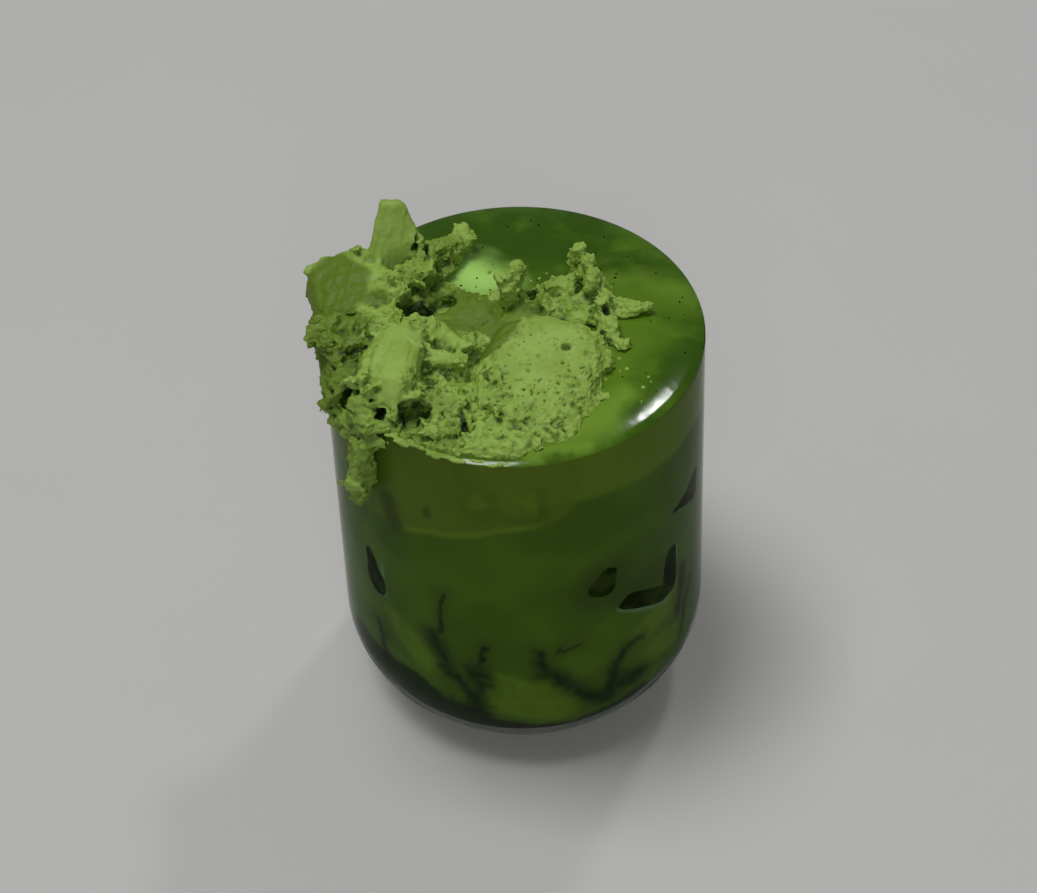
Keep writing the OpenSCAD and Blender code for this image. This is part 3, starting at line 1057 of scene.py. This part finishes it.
# The left spoonful. Places are millimetres from the axis and over the rim. A lump or a hollow
# is (at, half size, turn, taper, bluntness); a zone is (at, half size, turn, what is left of it).
leftHeap = {
    "seed": 11,
    "voxel": 0.37,
    "uneven": 2.6,
    "crumbly": 2.2,
    "grainTilt": (20, -12, 10),
    "drawn": 0.55,
    "drawnTilt": (0, 0, -12),
    "crumbs": 640,
    "crumbSizes": (0.35, 1.8),
    "flakes": 200,
    "flakeSizes": (0.8, 2.6),
    "clearFrom": -24,    # to the right of this nothing lies past the inside of the rim
    "slab": {"at": (-23.6, 19.0, 9.2), "half": (8.6, 2.4, 8.9), "turn": (-28, 0, 4),
             "topShare": 0.27, "topShift": -0.1},
    "lumps": [
        ((-26, -5, -2.4), (12.0, 21, 5.2), (0, 0, 8), 0),
        ((-32.6, 9, 2.4), (8.0, 10.6, 3.6), (4, -14, 24), 0),  # wing over the rim
        ((-38.0, 14.0, 4.2), (3.4, 4.8, 1.0), (6, -16, 34), 0, 0.5),
        ((-40.4, 16.0, 4.6), (2.8, 1.6, 0.7), (0, -16, -26), 0, 0.5),
        ((-37.6, 4.5, 2.6), (3.2, 6.5, 1.0), (0, -18, 12), 0, 0.5),
        ((-24, 16.5, 2), (6.5, 3.6, 3.6), (0, 0, 6), 0),  # behind the slab
        ((-12.0, 22, 3.2), (3.6, 1.5, 3.2), (12, 0, 44), 0),  # the torn ridge
        ((-16.4, 17, 3.9), (4.2, 1.7, 3.9), (-8, 0, 38), 0),
        ((-21.0, 11.5, 4.2), (4.2, 2.2, 4.2), (10, 0, 30), 0),
        ((-25.6, 6.6, 4.2), (3.6, 2.4, 3.8), (-8, 0, 10), 0),
        ((-32.8, -2, 3.8), (8.4, 4.6, 0.75), (4, 6, 8), 0, 0.5),  # thin torn plates
        ((-31.8, -4.6, 5.8), (7.8, 3.8, 0.7), (10, 8, 14), 0, 0.5),
        ((-31.6, -7.6, 3.8), (7.4, 3.4, 0.7), (16, 6, 12), 0, 0.5),
        ((-29, 0.4, 5.6), (5.0, 2.6, 0.6), (-8, 10, 20), 0, 0.5),
        ((-28.6, -13.6, 2.8), (1.7, 9.4, 5.3), (-4, 0, -18), 0),  # the smooth front, in folds
        ((-26.9, -14.6, 3.7), (1.5, 9.8, 5.6), (-5, 0, -14), 0),
        ((-23.2, -15.2, 3.4), (3.9, 10.4, 6.2), (-6, 4, -10), 0.15, 0.35),
        ((-32.8, -12.5, 0.4), (3.2, 8.4, 3.2), (0, -8, -22), 0),
        ((-14, -24.6, -1.6), (7.2, 10.6, 3.6), (6, 0, 20), 0),
        ((-12.6, -26, 0.6), (1.8, 7.6, 2.8), (4, 0, 14), 0),
        ((-17.4, -26.5, 0.4), (1.6, 6.0, 2.2), (0, 0, 24), 0),
        ((-13, 0, -2.2), (8, 10, 3.4), (0, 6, -6), 0),
        ((-8.5, 5.6, -0.8), (7.2, 4.8, 2.5), (0, 0, -14), 0),  # the wet edge beside the smear
        ((-14, -13.6, 4.2), (3.4, 1.7, 1.7), (0, 10, -6), 0, 0.7),  # loose bright block
        ((-17, -4, 4.2), (3.4, 1.6, 0.5), (25, 10, 40), 0, 0.5),  # thin flakes
        ((-12, -7, 3.8), (3.6, 1.5, 0.5), (20, -15, -56), 0, 0.5),
        ((-30.4, -25.0, -0.8), (2.6, 3.2, 4.0), (0, 0, 40), 0),  # the drip outside the wall
        ((-31.9, -27.2, -8), (1.5, 2.1, 5.6), (0, 0, 40), -0.2),
        ((-32.6, -27.7, -15.4), (1.7, 1.4, 5.2), (8, -3, 40), -0.35),
    ],
    "hollows": [
        ((-20.5, 3.8, 3.4), (4.2, 2.1, 3.4), (0, 0, 14)),
        ((-15.0, 6.6, 2.6), (3.0, 1.7, 2.8), (0, 0, 30)),
        ((-19.2, 17.0, 6.0), (2.2, 2.4, 1.3), (0, -20, 20)),
        ((-17.6, 18.2, 9.2), (0.5, 3.4, 2.8), (0, 24, 0)),
        ((-19.8, 18.2, 9.8), (0.4, 2.6, 2.4), (0, 24, 0)),
        ((-31.0, -21.6, 3.4), (4.4, 2.5, 3.8), (0, 0, -30)),
        ((-27.2, -25.6, 0.8), (2.3, 1.8, 3.4), (0, 0, -20)),
        ((-20.6, -26.6, 3.0), (3.2, 2.0, 3.4), (0, 0, 14)),
        ((-10.6, -31.0, 1.8), (0.8, 5.4, 2.8), (0, 0, 8)),
        ((-38.5, -6.4, 5.0), (4.0, 0.6, 0.9), (0, 0, 10)),
        ((-34, -0.8, 6.2), (5.0, 0.6, 1.2), (0, 0, 12)),
        ((-31.5, -9.6, 5.4), (4.4, 0.7, 1.4), (0, 0, 16)),
        ((-39, -14, 2.0), (1.4, 1.0, 1.4), (0, 0, 0)),
        ((-36, -19, 2.6), (1.6, 0.9, 1.6), (0, 0, 40)),
        ((-17.6, -20.6, 4.2), (1.4, 1.0, 1.6), (0, 0, 20)),
        ((-32.4, -28.6, -11.5), (1.2, 0.8, 1.6), (0, 0, 36)),
    ],
    "smooth": [
        ((-25.2, 20.0, 11.0), (8.0, 6.0, 12.5), 4, 0.0),  # the slab
        ((-36, 10.5, 5), (10.5, 12.5, 7), 24, 0.3),  # the wing
        ((-24.4, -15.5, 7), (6.4, 10.5, 5.5), -12, 0.05),  # the folds in front
        ((-14, -13.6, 5.6), (3.6, 2.2, 2.2), 0, 0.3),
        ((-13.5, -5.5, 5), (5, 4, 2), 0, 0.25),
        ((-8, 4.5, 1.5), (8.5, 6.5, 4), 0, 0.3),
    ],
    "porous": [((-14, -24, 2), (7.5, 12, 5), 18, 0.0), ((-36, -14, 2), (6, 12, 5), 0, 0.3)],
    # zones darkened to olive, mostly as painted shade on faces turned from the light
    "tone": [
        ((-38, 8.5, 4), (10.5, 12, 7), 24, 0.0),
        ((-37, -9, 3), (9, 17, 9), 4, 0.15),
        ((-17, 15, 5), (9, 10, 6), 40, 0.45),
        ((-14, 1, 1), (9, 8, 4), 0, 0.45),
        ((-8, 5.5, 1), (9, 7, 4), 0, 0.0),
        ((-17, -25, 0), (9, 10, 5), 10, 0.55),
        ((-32, -26, -10), (4, 5, 16), 0, 0.5),
    ],
}
heapLeft = buildIceCream("heapLeft", leftHeap)
cutWith(heapLeft, rimClearTool(leftHeap["clearFrom"]))
finishIceCream(heapLeft, leftHeap, "scoop_left", -1, [rimFilm()])

rightHeap = {
    "seed": 12,
    "voxel": 0.37,
    "uneven": 1.6,
    "crumbly": 1.4,
    "grainTilt": (20, 10, -20),
    "drawn": 0.5,
    "drawnTilt": (0, 0, -48),
    "crumbs": 300,
    "crumbSizes": (0.35, 1.6),
    "flakes": 110,
    "flakeSizes": (0.8, 2.1),
    "clearFrom": -60,
    "lumps": [
        ((4.0, -18.8, -0.6), (11.4, 15.4, 5.4), (12, 3, -16), 0),
        ((14, 12.5, 4.2), (1.5, 1.3, 6.2), (0, 0, 0), 0.5, 0.6),  # the torn fin
        ((15.2, 9.8, 4.8), (1.4, 2.0, 5.6), (0, 8, -20), 0.5, 0.6),
        ((11.5, 2.6, 1.0), (4.6, 4.0, 2.5), (0, -8, 10), 0),
        ((17.2, 6.6, 4.2), (1.5, 2.5, 4.8), (0, 0, -20), 0.3, 0.5),
        ((18.8, 2, 2.6), (1.5, 3.0, 4.0), (0, 0, -10), 0.3, 0.5),
        ((19.6, -3, 1.2), (1.6, 3.2, 3.2), (0, 0, 6), 0.2),
        ((17.4, -10, 0.3), (2.2, 3.8, 2.4), (0, 0, 10), 0),
        ((14.2, -18, 0), (2.4, 4.4, 2.0), (0, 0, 16), 0),
        ((-3, 8.6, -0.6), (4.0, 1.9, 1.9), (0, 0, 10), 0),  # the low torn back edge
        ((4, 6.8, 0.4), (4.4, 1.8, 2.6), (0, -10, 14), 0),
        ((10, 8, 2.0), (3.4, 1.8, 3.6), (0, -20, 10), 0),
        ((1, 1, -2.0), (9, 7, 3.0), (0, 0, 0), 0),  # the smooth hollow behind
        ((17.4, -13.4, 2.6), (2.1, 1.8, 1.4), (10, 20, 30), 0, 0.7),  # bright loose crumbs
        ((22.2, -7.8, 1.9), (1.4, 1.2, 0.9), (0, 0, 20), 0, 0.7),
        ((-4, -30.5, -0.8), (7, 6.5, 2.8), (0, 0, -10), 0),
        ((6, -27, -0.9), (5, 7.0, 2.5), (0, 0, -26), 0),
    ],
    "hollows": [
        ((4.2, 7.4, 2.6), (1.2, 1.6, 1.6), (0, 0, 30)),
        ((15.4, -11.5, 3.4), (1.0, 0.8, 1.2), (0, 0, 0)),
        ((10.6, -12.6, 6.6), (0.9, 0.7, 0.9), (0, 0, 0)),
        ((19.5, -0.6, 5.0), (0.8, 1.3, 1.2), (0, 0, 0)),
        ((-9.4, -22, 3.2), (0.8, 4.6, 2.4), (0, 0, 12)),
    ],
    "smooth": [
        ((-4, -6, 3.4), (9.5, 6.0, 4.6), 38, 0.0),  # the scooped trough
        ((2, 1, 1), (9, 5, 2.4), 0, 0.05),
        ((6, -14, 6), (8.5, 14.5, 4.2), -16, 0.35),  # the pale back of the wedge
    ],
    "porous": [((6, -16, 3), (11, 18, 6.5), -16, 0.0)],
    # zones darkened to olive, mostly as painted shade, the scooped trough the most
    "tone": [
        ((-4, -6, 3.0), (11, 7.5, 6), 38, 0.0),
        ((2, 2, 0), (11, 8, 4), 0, 0.3),
        ((6, 9, 2), (10, 5, 5), 0, 0.6),
    ],
}
heapRight = buildIceCream("heapRight", rightHeap)
cutWith(heapRight, rimClearTool(rightHeap["clearFrom"]))
finishIceCream(heapRight, rightHeap, "scoop_right", 1)

# What the loose chunk and the loose flake share, and their own lumps.
looseHeap = {
    "voxel": 0.28,
    "uneven": 1.4,
    "crumbly": 1.2,
    "grainTilt": (70, 10, 0),
    "crumbs": 30,
    "crumbSizes": (0.3, 0.8),
    "flakes": 8,
    "flakeSizes": (0.6, 1.2),
    "hollows": [],
    "smooth": [],
    "porous": [],
    "tone": [],
}
chunkHeap = {**looseHeap, "seed": 13, "lumps": [
    ((-0.6, 6.0, 3.2), (1.6, 1.2, 4.0), (8, 4, 0), -0.3),
    ((-1.4, 7.4, 6.8), (1.2, 1.5, 2.6), (4, -24, 20), 0, 0.6),
    ((0.8, 7.8, 8.0), (1.5, 1.3, 3.2), (4, 16, 30), 0, 0.6),
]}
flakeHeap = {**looseHeap, "seed": 14, "lumps": [
    ((23.0, 3, 1.9), (3.2, 2.3, 0.6), (0, -10, -14), 0),
    ((26.6, 2.2, 2.5), (2.0, 0.9, 0.5), (0, -16, -10), 0),
    ((21.6, 4.4, 2.1), (1.6, 1.2, 0.6), (0, 0, 30), 0),
]}
for pieceName, nodeName, heap in (("looseChunk", "chunk", chunkHeap), ("looseFlake", "flake", flakeHeap)):
    loose = buildIceCream(pieceName, heap)
    keepCavities(loose, heap)
    smoothShade(loose)
    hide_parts(nodeName)
    finishPiece(loose, "ice_cream", iceCreamMaterial)

specks = {"dark": 46, "darkSizes": (0.10, 0.26), "darkSeed": 41,
          "crumbs": 44, "crumbSizes": (0.15, 0.55), "crumbSeed": 42, "spread": 36, "farthest": 37}


def addSpecks(name, count, sizes, seed, nearHeap, material, slotName):
    # little things that lie on the drink, out to the rim or close round the ice cream
    chance = random.Random(seed)
    spread = specks["spread"]
    pieces = []
    while len(pieces) < count:
        x, y = chance.uniform(-spread, spread), chance.uniform(-spread, spread)
        far = math.hypot(x, y)
        onIceCream = x < 15 - 0.2 * y and y < 10 or x < -14
        besideIt = x < 24 - 0.2 * y and y < 17 and far < spread
        if far > specks["farthest"] or onIceCream or (nearHeap and not besideIt):
            continue
        size = chance.uniform(*sizes) * mm
        shape = crumbShapes[len(pieces) % len(crumbShapes)]
        pieces.append(copyCrumb(shape, spot(x, y, crownAt(far)), size, chance, crumb["speckThin"]))
    return finishPiece(smoothShade(joinAll(pieces, name)), slotName, material)


addSpecks("darkSpecks", specks["dark"], specks["darkSizes"], specks["darkSeed"], False, iceMaterial, "foam")
addSpecks("looseCrumbs", specks["crumbs"], specks["crumbSizes"], specks["crumbSeed"], True,
          iceCreamMaterial, "ice_cream")
print("the ice cream is heaped")

for shape in crumbShapes:
    bpy.data.objects.remove(shape)
